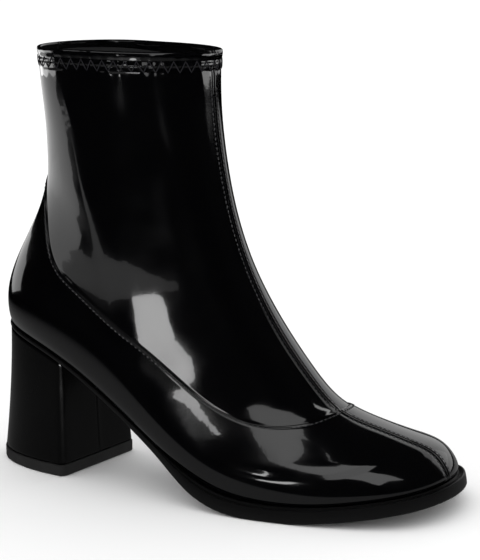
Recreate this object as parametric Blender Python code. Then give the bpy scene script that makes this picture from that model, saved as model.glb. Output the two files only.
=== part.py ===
"""Patent stretch ankle boot on a block heel: upper, insole, outsole, heel block and heel lift.

Metres. +X runs to the toe, +Y to the inner side of a right shoe, +Z up, and the boot rests on z = 0.
"""
import math

import bmesh
import bpy
import numpy as np

# Sizes of the last and the boot
LAST_LENGTH = 0.2295
BALL_WIDTH = 0.082
HEEL_WIDTH = 0.060
BOOT_HEIGHT = 0.2100
SEAT_HEIGHT = 0.072
BALL_FEATHER = 0.0062
TOE_FEATHER = 0.0145
WALL = 0.0018
PANEL_STEP = 0.0005
SEAM_RIDGE = 0.0004
SEAM_RIDGE_HALF = 0.0012
HEM_DEPTH = 0.0095
LASTING_MARGIN = 0.0075
INSOLE_THICK = 0.0020
FIT_GAP = 0.0003

# Sizes of the sole
WELT_WIDTH = 0.0057
SEAT_EDGE = 0.0009
SIDE_FLARE = 0.0008
RIB_HEIGHT = 0.0008
GROOVE_DEPTH = 0.0006

# Sizes of the heel
HEEL_LENGTH = 0.0550
HEEL_BASE_WIDTH = 0.0572
HEEL_BACK = -0.0085
HEEL_TOP_BREAST = 0.0475
HEEL_TURN = math.radians(3.0)
HEEL_ROUND = 2.6
HEEL_CORNER = 0.0035
HEEL_FLARE = 1.7
LIFT_HEIGHT = 0.0056
LIFT_PROUD = 0.0004

# Mesh counts
WRAP_COLUMNS = 60
FOOT_ROWS = 12
SHAFT_ROWS = 12
LINING_ROWS = 15
HEEL_STEPS = 13
HEEL_ROWS = 7

# The last, one row for each height from the feather line to the rim.
# back and front: shares of LAST_LENGTH forward of the seat; back_up and front_up: shares of the climb to
# BOOT_HEIGHT; heel and waist: shares of HEEL_WIDTH; ball: share of BALL_WIDTH; heel_end and toe_end: how blunt
# the ends are; follow: how far the row keeps the curve of the sole; swing: how far it keeps the last's bend.
LAST_COLUMNS = ("back", "back_up", "front", "front_up", "heel", "waist", "ball", "heel_end", "toe_end",
                "follow", "swing")
LAST_ROWS = (
    (-0.006, 0.000, 0.998, 0.000, 0.435, 0.508, 0.500, 5.5, 5.2, 1.00, 1.00),
    (-0.009, 0.045, 1.008, 0.019, 0.493, 0.550, 0.515, 5.5, 5.2, 1.00, 1.00),
    (-0.008, 0.125, 0.984, 0.064, 0.523, 0.570, 0.500, 5.0, 4.8, 0.95, 0.94),
    (0.008, 0.213, 0.937, 0.091, 0.527, 0.567, 0.440, 4.5, 4.3, 0.85, 0.78),
    (0.033, 0.296, 0.860, 0.115, 0.513, 0.555, 0.386, 4.1, 3.6, 0.68, 0.66),
    (0.062, 0.383, 0.777, 0.147, 0.498, 0.543, 0.360, 3.7, 3.0, 0.45, 0.58),
    (0.083, 0.465, 0.712, 0.218, 0.483, 0.533, 0.350, 3.4, 2.5, 0.24, 0.46),
    (0.095, 0.549, 0.645, 0.323, 0.483, 0.528, 0.350, 3.0, 2.1, 0.10, 0.31),
    (0.098, 0.635, 0.585, 0.453, 0.502, 0.525, 0.354, 2.8, 1.7, 0.02, 0.15),
    (0.099, 0.728, 0.543, 0.593, 0.530, 0.527, 0.370, 2.7, 1.45, 0.00, 0.05),
    (0.099, 0.823, 0.518, 0.733, 0.567, 0.542, 0.393, 2.8, 1.35, 0.00, 0.00),
    (0.100, 0.917, 0.504, 0.863, 0.605, 0.562, 0.417, 3.0, 1.35, 0.00, 0.00),
    (0.104, 1.000, 0.501, 0.992, 0.636, 0.582, 0.443, 3.2, 1.4, 0.00, 0.00),
)

# The curve of the sole under the last: seat and toe are shares of the rise above the ball
CURVE_COLUMNS = ("along", "seat", "toe")
SOLE_CURVE = (
    (0.00, 1.000, 0.00),
    (0.12, 0.915, 0.00),
    (0.24, 0.755, 0.00),
    (0.36, 0.500, 0.00),
    (0.48, 0.225, 0.00),
    (0.58, 0.055, 0.00),
    (0.68, 0.000, 0.00),
    (0.78, 0.000, 0.03),
    (0.89, 0.000, 0.42),
    (1.00, 0.000, 1.00),
)

# The last's bend: the middle line's place across, a share of BALL_WIDTH towards the inner side
BEND = (
    (0.00, -0.035), (0.20, -0.075), (0.40, -0.048), (0.60, 0.030),
    (0.70, 0.092), (0.80, 0.156), (0.90, 0.194), (1.00, 0.158),
)

# The vamp seam: share of the way round from the back to the front, height on the last
VAMP_SEAM = (
    (0.00, 0.600), (0.08, 0.574), (0.16, 0.527), (0.20, 0.484), (0.245, 0.420), (0.29, 0.380),
    (0.34, 0.380), (0.42, 0.402), (0.50, 0.424), (0.56, 0.415), (0.62, 0.382), (0.68, 0.366),
    (0.74, 0.370), (0.82, 0.388), (0.91, 0.410), (1.00, 0.420),
)

# The sole along its length: edge is the share of the welt's width and relief, thick is in metres
SOLE_SECTIONS = (
    (0.00, 0.00, 0.0020), (0.22, 0.00, 0.0022), (0.36, 0.00, 0.0028), (0.46, 0.12, 0.0042),
    (0.54, 0.75, 0.0054), (0.62, 1.00, 0.0060), (0.72, 1.00, 0.0062), (0.82, 1.00, 0.0058),
    (1.00, 1.00, 0.0062),
)

# The sole's edge from the upper outwards: out is a share of WELT_WIDTH, the rest are heights in metres
EDGE_COLUMNS = ("out", "height")
EDGE_RINGS = (
    (0.16, 0.0),
    (0.29, RIB_HEIGHT),
    (0.43, RIB_HEIGHT),
    (0.50, -GROOVE_DEPTH),
    (0.63, -GROOVE_DEPTH),
    (0.70, 0.0),
    (0.93, -0.0001),
    (1.00, -0.0006),
)


def spline(knots, values, at):
    """Natural cubic spline through the values, with straight ends."""
    knots = np.asarray(knots, float)
    values = np.asarray(values, float)
    at = np.asarray(at, float)
    steps = np.diff(knots)
    count = len(knots)
    matrix = np.eye(count)
    right = np.zeros(values.shape)
    for i in range(1, count - 1):
        matrix[i, i - 1:i + 2] = steps[i - 1], 2 * (steps[i - 1] + steps[i]), steps[i]
        right[i] = 6 * ((values[i + 1] - values[i]) / steps[i] - (values[i] - values[i - 1]) / steps[i - 1])
    bends = np.linalg.solve(matrix, right)
    inside = np.clip(at, knots[0], knots[-1])
    k = np.clip(np.searchsorted(knots, inside, side="right") - 1, 0, count - 2)
    extra = values.ndim - 1
    shape = at.shape + (1,) * extra
    width = steps[k].reshape(shape)
    low = (inside - knots[k]).reshape(shape)
    high = (knots[k + 1] - inside).reshape(shape)
    result = (bends[k] * high ** 3 + bends[k + 1] * low ** 3) / (6 * width)
    result += (values[k] / width - bends[k] * width / 6) * high
    result += (values[k + 1] / width - bends[k + 1] * width / 6) * low
    first = (values[1] - values[0]) / steps[0] - steps[0] * bends[1] / 6
    last = (values[-1] - values[-2]) / steps[-1] + steps[-1] * bends[-2] / 6
    below = np.minimum(at - knots[0], 0).reshape(shape)
    above = np.maximum(at - knots[-1], 0).reshape(shape)
    return result + first * below + last * above


LAST_TABLE = np.array(LAST_ROWS)
LAST_KNOTS = np.linspace(0, 1, len(LAST_ROWS))
CURVE_TABLE = np.array(SOLE_CURVE)
BEND_TABLE = np.array(BEND)
SEAM_TABLE = np.array(VAMP_SEAM)
SECTION_TABLE = np.array(SOLE_SECTIONS)


def sole_curve(share):
    """Height of the last's bottom at a share of its length."""
    shape = spline(CURVE_TABLE[:, 0], CURVE_TABLE[:, 1:], share)
    rise = (SEAT_HEIGHT - BALL_FEATHER) * shape[..., 0]
    spring = (TOE_FEATHER - BALL_FEATHER) * shape[..., 1]
    return BALL_FEATHER + rise + spring


def last_surface(height, angle):
    """The boot's outer wall: height from 0, feather, to 1, rim; angle from 0, back, to pi, front."""
    height, angle = np.broadcast_arrays(np.asarray(height, float), np.asarray(angle, float))
    row = dict(zip(LAST_COLUMNS, np.moveaxis(spline(LAST_KNOTS, LAST_TABLE, height), -1, 0)))
    turn = np.cos(angle)
    share = (1 - turn) / 2
    heel = row["heel"] * HEEL_WIDTH
    waist = row["waist"] * HEEL_WIDTH
    ball = row["ball"] * BALL_WIDTH
    stations = spline((0.0, 0.18, 0.42, 0.68, 1.0), np.eye(5), share)
    wide = stations[..., 0] * heel * 0.985 + stations[..., 1] * heel + stations[..., 2] * waist
    wide += stations[..., 3] * ball + stations[..., 4] * ball * 1.09
    blunt = np.where(turn > 0, row["heel_end"], row["toe_end"])
    end = np.sqrt(np.clip(1 - np.abs(turn) ** blunt, 0, 1))
    bend = spline(BEND_TABLE[:, 0], BEND_TABLE[:, 1], share) * BALL_WIDTH
    y = row["swing"] * bend - np.sign(np.sin(angle)) * wide * end
    x = LAST_LENGTH * (row["back"] + (row["front"] - row["back"]) * share)
    back_z = SEAT_HEIGHT + (BOOT_HEIGHT - SEAT_HEIGHT) * row["back_up"]
    front_z = TOE_FEATHER + (BOOT_HEIGHT - TOE_FEATHER) * row["front_up"]
    curve = (sole_curve(share) - TOE_FEATHER) / (SEAT_HEIGHT - TOE_FEATHER)
    climb = row["follow"] * curve + (1 - row["follow"]) * (1 - share)
    z = front_z + (back_z - front_z) * climb
    return np.stack([x, y, z], -1)


def outward(height, angle):
    """Unit normals of the outer wall, by differences."""
    step = 1e-3
    around = last_surface(height, angle + step) - last_surface(height, angle - step)
    upward = last_surface(height + step, angle) - last_surface(height - step, angle)
    normal = np.cross(around, upward)
    return normal / np.linalg.norm(normal, axis=-1, keepdims=True)


def vamp_height(angle):
    """Height of the vamp seam on the last, the same on both sides."""
    share = np.abs((angle + np.pi) % (2 * np.pi) - np.pi) / np.pi
    return spline(SEAM_TABLE[:, 0], SEAM_TABLE[:, 1], share)


def hem_height(angle):
    """Height on the last of the hem's lower edge, HEM_DEPTH under the rim."""
    near = last_surface(np.full_like(angle, 0.95), angle)
    rim = last_surface(np.ones_like(angle), angle)
    return 1 - 0.05 * HEM_DEPTH / np.linalg.norm(rim - near, axis=-1)


def seam_angle(height, out, front):
    """How far round from a centre seam a point lies that is a given way out from it."""
    row = dict(zip(LAST_COLUMNS, spline(LAST_KNOTS, LAST_TABLE, height)))
    wide = row["ball"] * BALL_WIDTH * 1.09 if front else row["heel"] * HEEL_WIDTH
    blunt = row["toe_end"] if front else row["heel_end"]
    return math.acos((1 - (out / wide) ** 2) ** (1 / blunt))


def wrap_angles(back_height, front_height):
    """Angles of a row's columns, with close ones beside both centre seams, and the ridge's share at each."""
    body = np.arange(WRAP_COLUMNS) * 2 * np.pi / WRAP_COLUMNS
    angles = [(angle, 0.0) for angle in body]
    angles[0] = (0.0, 1.0)
    angles[WRAP_COLUMNS // 2] = (np.pi, 1.0)
    for out, share in ((SEAM_RIDGE_HALF * 0.55, 0.85), (SEAM_RIDGE_HALF * 1.4, 0.0)):
        back = seam_angle(back_height, out, False)
        front = seam_angle(front_height, out, True)
        angles += [(back, share), (2 * np.pi - back, share), (np.pi - front, share), (np.pi + front, share)]
    angles.sort()
    return np.array(angles).T


def outer_rows():
    """Rows of the outer wall from the feather line to the rim: foot part, shaft and hem, with their steps."""
    rows = []
    plan = [("foot", k / FOOT_ROWS, 0.0) for k in range(FOOT_ROWS + 1)]
    plan += [("shaft", k / SHAFT_ROWS, -PANEL_STEP) for k in range(SHAFT_ROWS + 1)]
    plan += [("hem", k / 2, 0.0) for k in range(3)]
    sliver = 0.0022
    front_seam = float(vamp_height(np.array([np.pi]))[0])
    back_seam = float(vamp_height(np.array([0.0]))[0])
    hem_low = float(hem_height(np.array([np.pi]))[0])
    for zone, share, offset in plan:
        limits = {"foot": (0.0, back_seam, front_seam), "shaft": (back_seam, hem_low, 0.0),
                  "hem": (hem_low, 1.0, 0.0)}[zone]
        if zone == "foot":
            back_height, front_height = share * back_seam, share * front_seam
        elif zone == "shaft":
            back_height = back_seam + share * (hem_low - back_seam)
            front_height = front_seam + share * (hem_low - front_seam)
        else:
            back_height = front_height = limits[0] + share * (1 - limits[0])
        angle, ridge = wrap_angles(back_height, front_height)
        seam = vamp_height(angle)
        hem = hem_height(angle)
        if zone == "foot":
            height = share * seam
        elif zone == "shaft":
            height = seam + sliver + share * (hem - seam - 2 * sliver)
        else:
            height = hem + share * (1 - hem)
        fade = min(1.0, max(0.0, front_height - 0.03) / 0.08) if zone != "hem" else 0.6
        front = np.abs(angle - np.pi) < 1.5
        lift = SEAM_RIDGE * ridge * fade * np.where(front | (zone != "foot"), 1.0, 0.0)
        rows.append(last_surface(height, angle) + outward(height, angle) * (offset + lift)[..., None])
    return rows


def lining_rows():
    """Rows of the inner wall, from the rim down to the insole."""
    rows = []
    for k in range(LINING_ROWS):
        height = 1.0 - 0.975 * k / (LINING_ROWS - 1)
        angle = wrap_angles(height, height)[0]
        flat = np.full_like(angle, height)
        rows.append(last_surface(flat, angle) - outward(flat, angle) * WALL)
    return rows


def feather_share(x):
    """Share of the way along the feather line at a place forward."""
    back, front = LAST_TABLE[0, 0], LAST_TABLE[0, 2]
    return (x / LAST_LENGTH - back) / (front - back)


def last_bottom(x):
    """Height of the last's bottom at a place forward."""
    return sole_curve(feather_share(x))


def feather_ring(angle, out):
    """The feather line moved outwards in plan; returns its points in plan and the share along."""
    zero = np.zeros_like(angle)
    points = last_surface(zero, angle)
    along = last_surface(zero, angle + 1e-3) - last_surface(zero, angle - 1e-3)
    side = np.stack([along[:, 1], -along[:, 0]], -1)
    side /= np.linalg.norm(side, axis=-1, keepdims=True)
    plan = points[:, :2] + side * np.broadcast_to(out, angle.shape)[:, None]
    return plan, feather_share(points[:, 0])


def at_height(plan, z):
    """Points of a plan ring at given heights."""
    return np.column_stack([plan, np.broadcast_to(z, len(plan))])


def sole_edge(share):
    return np.clip(spline(SECTION_TABLE[:, 0], SECTION_TABLE[:, 1], share), 0, 1)


def sole_thickness(share):
    return np.interp(share, SECTION_TABLE[:, 0], SECTION_TABLE[:, 2])


def tread_height(x):
    """Height of the sole's underside, flat on the ground at the ball."""
    return np.maximum(last_bottom(x) - FIT_GAP - sole_thickness(feather_share(x)), 0.0)


def sole_rings():
    """Rings of the outsole from under the upper, out over the welt and down to the tread."""
    angle = wrap_angles(0.0, 0.0)[0]
    share = feather_ring(angle, 0.0)[1]
    edge = sole_edge(share)
    rings = []
    for i, (out, height) in enumerate(EDGE_RINGS):
        narrow = SEAT_EDGE * (0.45 + 0.55 * i / (len(EDGE_RINGS) - 1))
        plan = feather_ring(angle, narrow + (out * WELT_WIDTH - narrow) * edge)[0]
        z = last_bottom(plan[:, 0]) - FIT_GAP + height * (edge if i < len(EDGE_RINGS) - 1 else 0.5 + edge / 2)
        rings.append(at_height(plan, z))
    full = SEAT_EDGE + (WELT_WIDTH + SIDE_FLARE - SEAT_EDGE) * edge
    plan = feather_ring(angle, full)[0]
    rings.append(at_height(plan, tread_height(plan[:, 0]) + 0.0007))
    plan = feather_ring(angle, full - 0.0006)[0]
    rings.append(at_height(plan, tread_height(plan[:, 0])))
    return rings


def insole_rings():
    """Rings of the insole, lying on the lasting margin inside the wall."""
    angle = wrap_angles(0.0, 0.0)[0]
    plan = feather_ring(angle, -WALL - 3 * FIT_GAP)[0]
    rise = last_bottom(plan[:, 0]) + WALL + FIT_GAP
    return [at_height(plan, rise + INSOLE_THICK), at_height(plan, rise)]


def heel_shares():
    """Shares along the heel from its back to its breast, close together at both ends."""
    turn = np.linspace(0, np.pi / 2, HEEL_STEPS)
    back = 1 - np.cos(turn)
    corner = 1 - HEEL_CORNER / HEEL_LENGTH * np.array([1.0, 0.62, 0.3, 0.08, 0.0])
    return np.concatenate([back[back < corner[0] - 0.02], corner])


def rounded_breast(share, half):
    """Half width near the breast, brought in by the corner's radius."""
    reach = np.clip((share - 1) * HEEL_LENGTH + HEEL_CORNER, 0, HEEL_CORNER)
    return half - HEEL_CORNER + np.sqrt(HEEL_CORNER ** 2 - reach ** 2)


def heel_top_plan():
    """Plan of the heel block under the sole: the seat's own outline, cut by the breast."""
    share = heel_shares()
    sides = []
    for sign in (1, -1):
        skew = -sign * math.tan(HEEL_TURN) * HEEL_WIDTH / 2
        back = LAST_TABLE[0, 0] * LAST_LENGTH
        x = back + (HEEL_TOP_BREAST + skew - back) * share
        angle = sign * np.arccos(1 - 2 * feather_share(x))
        plan = feather_ring(angle, SEAT_EDGE - FIT_GAP)[0]
        middle = plan[0, 1]
        half = np.abs(plan[:, 1] - middle)
        plan[:, 1] = middle - sign * rounded_breast(share, half)
        sides.append(plan)
    return np.concatenate([sides[0], sides[1][:0:-1]])


def heel_base_plan(out):
    """Plan of the heel's foot, a D with a rounded back, turned to the heel's own line."""
    share = heel_shares()
    half = HEEL_BASE_WIDTH / 2 * np.sqrt(1 - (1 - share) ** HEEL_ROUND)
    half = rounded_breast(share, half)
    x = HEEL_BACK + HEEL_LENGTH * share
    near = np.column_stack([x, -half])
    far = np.column_stack([x, half])[:0:-1]
    plan = np.concatenate([near, far])
    plan = grow(plan, out)
    c, s = math.cos(HEEL_TURN), math.sin(HEEL_TURN)
    return np.column_stack([plan[:, 0] * c + plan[:, 1] * s, plan[:, 1] * c - plan[:, 0] * s])


def grow(plan, out):
    """A closed plan moved outwards by a small amount."""
    along = np.roll(plan, -1, axis=0) - np.roll(plan, 1, axis=0)
    side = np.stack([along[:, 1], -along[:, 0]], -1)
    side /= np.linalg.norm(side, axis=-1, keepdims=True)
    return plan + side * out


def heel_rings():
    """Rings of the heel block from the sole down to the lift."""
    top = heel_top_plan()
    base = heel_base_plan(0.0)
    top_z = tread_height(top[:, 0]) - FIT_GAP
    rings = []
    for k in range(HEEL_ROWS + 1):
        drop = k / HEEL_ROWS
        plan = top + (base - top) * drop ** HEEL_FLARE
        rings.append(at_height(plan, top_z + (LIFT_HEIGHT + FIT_GAP - top_z) * drop))
    return rings


def lift_rings():
    """Rings of the rubber lift, a little proud of the block."""
    edge = 0.0004
    return [
        at_height(heel_base_plan(LIFT_PROUD - edge), LIFT_HEIGHT),
        at_height(heel_base_plan(LIFT_PROUD), LIFT_HEIGHT - edge),
        at_height(heel_base_plan(LIFT_PROUD), edge),
        at_height(heel_base_plan(LIFT_PROUD - edge), 0.0),
    ]


def bands(ring_count, size, closed):
    """Quads between neighbouring rings of the same size."""
    faces = []
    for r in range(ring_count if closed else ring_count - 1):
        a = r * size
        b = (r + 1) % ring_count * size
        for i in range(size):
            j = (i + 1) % size
            faces.append((a + i, a + j, b + j, b + i))
    return faces


def ladder(first, size, flip):
    """A cap whose rungs join the two sides of a ring, from its first point to its middle one."""
    faces = [(first, first + 1, first + size - 1)]
    i = 1
    while i + 1 < size - i - 1:
        faces.append((first + i, first + i + 1, first + size - i - 1, first + size - i))
        i += 1
    if i + 1 == size - i - 1:
        faces.append((first + i, first + i + 1, first + size - i))
    return [face[::-1] for face in faces] if flip else faces


def make_material(name, colour, roughness, coat):
    material = bpy.data.materials.new(name)
    material.use_nodes = True
    shader = material.node_tree.nodes["Principled BSDF"]
    shader.inputs["Base Color"].default_value = (*colour, 1.0)
    shader.inputs["Roughness"].default_value = roughness
    shader.inputs["Coat Weight"].default_value = coat
    return material


def make_object(name, rings, faces, material, origin):
    """One closed body from rings and faces, with its faces turned outwards."""
    points = np.concatenate(rings) - origin
    mesh = bpy.data.meshes.new(name)
    mesh.from_pydata([tuple(p) for p in points], [], faces)
    body = bmesh.new()
    body.from_mesh(mesh)
    bmesh.ops.triangulate(body, faces=body.faces[:])
    bmesh.ops.recalc_face_normals(body, faces=body.faces[:])
    body.to_mesh(mesh)
    body.free()
    mesh.materials.append(material)
    item = bpy.data.objects.new(name, mesh)
    bpy.context.scene.collection.objects.link(item)
    return item


def upper_rings():
    """All rings of the upper in order: margin, outer wall, rim, lining and the margin's upper face."""
    outer = outer_rows()
    lining = lining_rows()
    angle = wrap_angles(0.0, 0.0)[0]
    under = feather_ring(angle, -LASTING_MARGIN)[0]
    half = feather_ring(angle, -LASTING_MARGIN / 2)[0]
    corner = feather_ring(angle, -WALL)[0]
    rim_angle = wrap_angles(1.0, 1.0)[0]
    full = np.ones_like(rim_angle)
    crown = last_surface(full, rim_angle) - outward(full, rim_angle) * WALL / 2
    crown[:, 2] += 0.0005
    rings = [at_height(under, last_bottom(under[:, 0])), at_height(half, last_bottom(half[:, 0]))]
    rings += outer + [crown] + lining
    rings.append(at_height(corner, last_bottom(corner[:, 0]) + WALL))
    rings.append(at_height(under, last_bottom(under[:, 0]) + WALL))
    return rings


def main():
    for item in list(bpy.data.objects):
        bpy.data.objects.remove(item)
    rings = {
        "upper": upper_rings(),
        "insole": insole_rings(),
        "outsole": sole_rings(),
        "heel_block": heel_rings(),
        "heel_lift": lift_rings(),
    }
    spread = np.concatenate([np.concatenate(group) for group in rings.values()])
    middle = (spread.min(axis=0) + spread.max(axis=0)) / 2
    origin = np.array([middle[0], middle[1], 0.0])
    looks = {
        "upper": ("patent_upper", (0.012, 0.012, 0.014), 0.12, 1.0),
        "insole": ("insole_sock", (0.020, 0.020, 0.022), 0.65, 0.0),
        "outsole": ("outsole_rubber", (0.018, 0.018, 0.019), 0.42, 0.0),
        "heel_block": ("heel_wrap", (0.014, 0.014, 0.015), 0.30, 0.3),
        "heel_lift": ("lift_rubber", (0.024, 0.024, 0.025), 0.60, 0.0),
    }
    for name, group in rings.items():
        size = len(group[0])
        faces = bands(len(group), size, name == "upper")
        if name != "upper":
            faces += ladder(0, size, False) + ladder((len(group) - 1) * size, size, True)
        make_object(name, group, faces, make_material(*looks[name]), origin)


main()
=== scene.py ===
"""Looks of the patent stretch ankle boot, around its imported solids.

Metres; +X is the toe, -Y the outer side, +Z up. Shapes are made in the frame of the last and moved
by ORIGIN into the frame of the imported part.
"""
import math

import bmesh
import bpy
import numpy as np
from mathutils import Matrix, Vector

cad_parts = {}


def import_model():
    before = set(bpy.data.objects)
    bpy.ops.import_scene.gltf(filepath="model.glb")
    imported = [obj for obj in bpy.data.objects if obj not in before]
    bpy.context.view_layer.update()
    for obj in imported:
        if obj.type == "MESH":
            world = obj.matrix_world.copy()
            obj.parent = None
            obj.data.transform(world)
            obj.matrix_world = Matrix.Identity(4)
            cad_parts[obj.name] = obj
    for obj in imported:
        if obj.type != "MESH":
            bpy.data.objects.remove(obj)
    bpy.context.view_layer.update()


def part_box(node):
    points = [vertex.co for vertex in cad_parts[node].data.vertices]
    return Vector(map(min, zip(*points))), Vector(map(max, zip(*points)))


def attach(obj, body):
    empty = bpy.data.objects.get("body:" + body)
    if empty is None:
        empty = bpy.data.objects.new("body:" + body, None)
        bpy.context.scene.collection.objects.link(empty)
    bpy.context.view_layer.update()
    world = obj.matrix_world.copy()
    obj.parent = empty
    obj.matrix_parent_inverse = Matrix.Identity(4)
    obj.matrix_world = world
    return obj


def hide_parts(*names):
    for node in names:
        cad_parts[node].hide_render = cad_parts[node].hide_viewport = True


# Sizes of the last and the boot, as in the part's source
LAST_LENGTH = 0.2295
BALL_WIDTH = 0.082
HEEL_WIDTH = 0.060
BOOT_HEIGHT = 0.2100
SEAT_HEIGHT = 0.072
BALL_FEATHER = 0.0062
TOE_FEATHER = 0.0145
WALL = 0.0018
PANEL_STEP = 0.0005
HEM_DEPTH = 0.0068
LASTING_MARGIN = 0.0075
INSOLE_THICK = 0.0020
FIT_GAP = 0.0003
WELT_WIDTH = 0.0057
SEAT_EDGE = 0.0009
SIDE_FLARE = 0.0008
RIB_HEIGHT = 0.0008
GROOVE_DEPTH = 0.0006
HEEL_LENGTH = 0.0550
HEEL_BASE_WIDTH = 0.0572
HEEL_BACK = -0.0085
HEEL_TOP_BREAST = 0.0475
HEEL_TURN = math.radians(3.0)
HEEL_ROUND = 2.6
HEEL_CORNER = 0.0035
HEEL_FLARE = 1.7
LIFT_HEIGHT = 0.0056
LIFT_PROUD = 0.0004

LAST_COLUMNS = ("back", "back_up", "front", "front_up", "heel", "waist", "ball", "heel_end",
                "toe_end", "follow", "swing")
LAST_ROWS = (
    (-0.006, 0.000, 0.998, 0.000, 0.435, 0.508, 0.500, 5.5, 5.2, 1.00, 1.00),
    (-0.009, 0.045, 1.008, 0.019, 0.493, 0.550, 0.515, 5.5, 5.2, 1.00, 1.00),
    (-0.008, 0.125, 0.984, 0.064, 0.523, 0.570, 0.500, 5.0, 4.8, 0.95, 0.94),
    (0.008, 0.213, 0.937, 0.091, 0.527, 0.567, 0.440, 4.5, 4.3, 0.85, 0.78),
    (0.033, 0.296, 0.860, 0.115, 0.513, 0.555, 0.386, 4.1, 3.6, 0.68, 0.66),
    (0.062, 0.383, 0.777, 0.147, 0.498, 0.543, 0.360, 3.7, 3.0, 0.45, 0.58),
    (0.083, 0.465, 0.712, 0.218, 0.483, 0.533, 0.350, 3.4, 2.5, 0.24, 0.46),
    (0.095, 0.549, 0.645, 0.323, 0.483, 0.528, 0.350, 3.0, 2.1, 0.10, 0.31),
    (0.098, 0.635, 0.585, 0.453, 0.502, 0.525, 0.354, 2.8, 1.7, 0.02, 0.15),
    (0.099, 0.728, 0.543, 0.593, 0.530, 0.527, 0.370, 2.7, 1.45, 0.00, 0.05),
    (0.099, 0.823, 0.518, 0.733, 0.567, 0.542, 0.393, 2.8, 1.35, 0.00, 0.00),
    (0.100, 0.917, 0.504, 0.863, 0.605, 0.562, 0.417, 3.0, 1.35, 0.00, 0.00),
    (0.104, 1.000, 0.501, 0.992, 0.636, 0.582, 0.443, 3.2, 1.4, 0.00, 0.00),
)
SOLE_CURVE = (
    (0.00, 1.000, 0.00), (0.12, 0.915, 0.00), (0.24, 0.755, 0.00), (0.36, 0.500, 0.00),
    (0.48, 0.225, 0.00), (0.58, 0.055, 0.00), (0.68, 0.000, 0.00), (0.78, 0.000, 0.03),
    (0.89, 0.000, 0.42), (1.00, 0.000, 1.00),
)
BEND = (
    (0.00, -0.035), (0.20, -0.075), (0.40, -0.048), (0.60, 0.030),
    (0.70, 0.092), (0.80, 0.156), (0.90, 0.194), (1.00, 0.158),
)
VAMP_SEAM = (
    (0.00, 0.600), (0.08, 0.574), (0.16, 0.527), (0.20, 0.484), (0.245, 0.420), (0.29, 0.380),
    (0.34, 0.380), (0.42, 0.402), (0.50, 0.424), (0.56, 0.415), (0.62, 0.382), (0.68, 0.366),
    (0.74, 0.370), (0.82, 0.388), (0.91, 0.410), (1.00, 0.420),
)
SOLE_SECTIONS = (
    (0.00, 0.00, 0.0020), (0.22, 0.00, 0.0022), (0.36, 0.00, 0.0028), (0.46, 0.12, 0.0042),
    (0.54, 0.75, 0.0054), (0.62, 1.00, 0.0060), (0.72, 1.00, 0.0062), (0.82, 1.00, 0.0058),
    (1.00, 1.00, 0.0062),
)

# The camera: its place round the boot and its lens, from the photograph's own perspective
CAMERA_AZIMUTH = math.radians(31.39)
CAMERA_ELEVATION = math.radians(11.1)
CAMERA_ROLL = math.radians(-0.29)
CAMERA_DISTANCE = 0.84607
CAMERA_TARGET = (0.12835, 0.0, 0.10218)
CAMERA_LENS_PX = 1796.67
CAMERA_SHIFT_PX = (0.12, -1.43)
FRAME_PX = (480, 560)
SENSOR_MM = 36.0

# Five stations from back to toe that set the last's width, and factors of the first and last
WIDTH_STATIONS = (0.0, 0.18, 0.42, 0.68, 1.0)
BACK_WIDTH = 0.985
TOE_WIDTH = 1.09

# Fine sizes that only the looks have
RIM_PROBE = 0.97  # height at which the climb to the rim is measured
FOOT_SKIN = 0.0009
SHAFT_SKIN = 0.0008
RIM_ROLL = 0.0009
LINING_SKIN = 0.0006
ZIGZAG_PITCH = 0.0057
ZIGZAG_SWING = 0.0026
ZIGZAG_WIDE, ZIGZAG_HIGH = 0.00055, 0.00040
ZIGZAG_OVERLAP = 1.04
SEAM_STITCH = (0.0017, 0.00075, 0.00062)  # length, width, height
VAMP_PITCH = 0.0025
SEAM_PITCH = 0.0023
VAMP_ROW = 0.0019
TOE_ROW = 0.0023
SHAFT_ROW = 0.0022
BACK_ROW = 0.0020
THREAD_PROUD = 0.00002
SHARP_DEGREES = 50

# Relief of the leather: ridges and, below zero, grooves, as height, middle and half width
SEAM_ROLL = (0.00036, 0.0009, 0.0007)
SEAM_GROOVE = (-0.00042, 0.0, 0.00032)
ROW_DEPTH, ROW_HALF = -0.00012, 0.0004
FOOT_EDGE_ROLL = (0.00012, 0.0009, 0.0006)
FOOT_EDGE_ROW = (-0.00014, VAMP_ROW, 0.00045)
ZIGZAG_HIGH_ROW = (-0.00016, HEM_DEPTH - 0.0024, 0.0009)
ZIGZAG_LOW_ROW = (-0.00012, HEM_DEPTH + 0.0024, 0.0009)
RIM_ROUND = (0.00025, 0.0016, 0.0016)
PUCKER_HEIGHT, PUCKER_REACH = 0.00010, 0.0045
HEM_EDGE = 0.0003
HEM_RISE = 0.9  # share of the panel step

# Meshes: columns of a ring, and how close together they stand beside the centre seams
RING_COLUMNS = 560
SOLE_COLUMNS = 480
INSOLE_COLUMNS = 240
MID_RINGS = 62
SHAFT_MID_RINGS = 60
LINING_RINGS = 34
HEEL_STEPS = 30
ORIGIN_STEPS = 13  # as in the part's source, whose lift places the frame
SEAM_OFFSETS = (0.0, 0.00025, 0.0005, 0.0008, 0.0011, 0.0014, 0.0018, 0.0022, 0.0027, 0.0033,
                0.0040)
BREAST_SHARES = np.array([0.1, 0.2, 0.3, 0.4, 0.46, 0.478, 0.487, 0.494, 0.5, 0.506, 0.513, 0.522,
                          0.54, 0.6, 0.7, 0.8, 0.9])

# Floor and surrounding light; in reflections both are dark, as in the photo's studio
FLOOR_REACH = 6.0
FLOOR_DROP = 0.0002
FLOOR_WHITE = 0.96
FLOOR_IN_GLOSS = 0.14
FLOOR_GLOSS_FROM, FLOOR_GLOSS_TO = 0.22, 0.62
WORLD_LIGHT = 1.15
WORLD_IN_GLOSS = 0.004
CENTIMETRE = 0.01

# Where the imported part's frame begins in the frame of the last; main measures it
ORIGIN = np.zeros(3)


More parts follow.
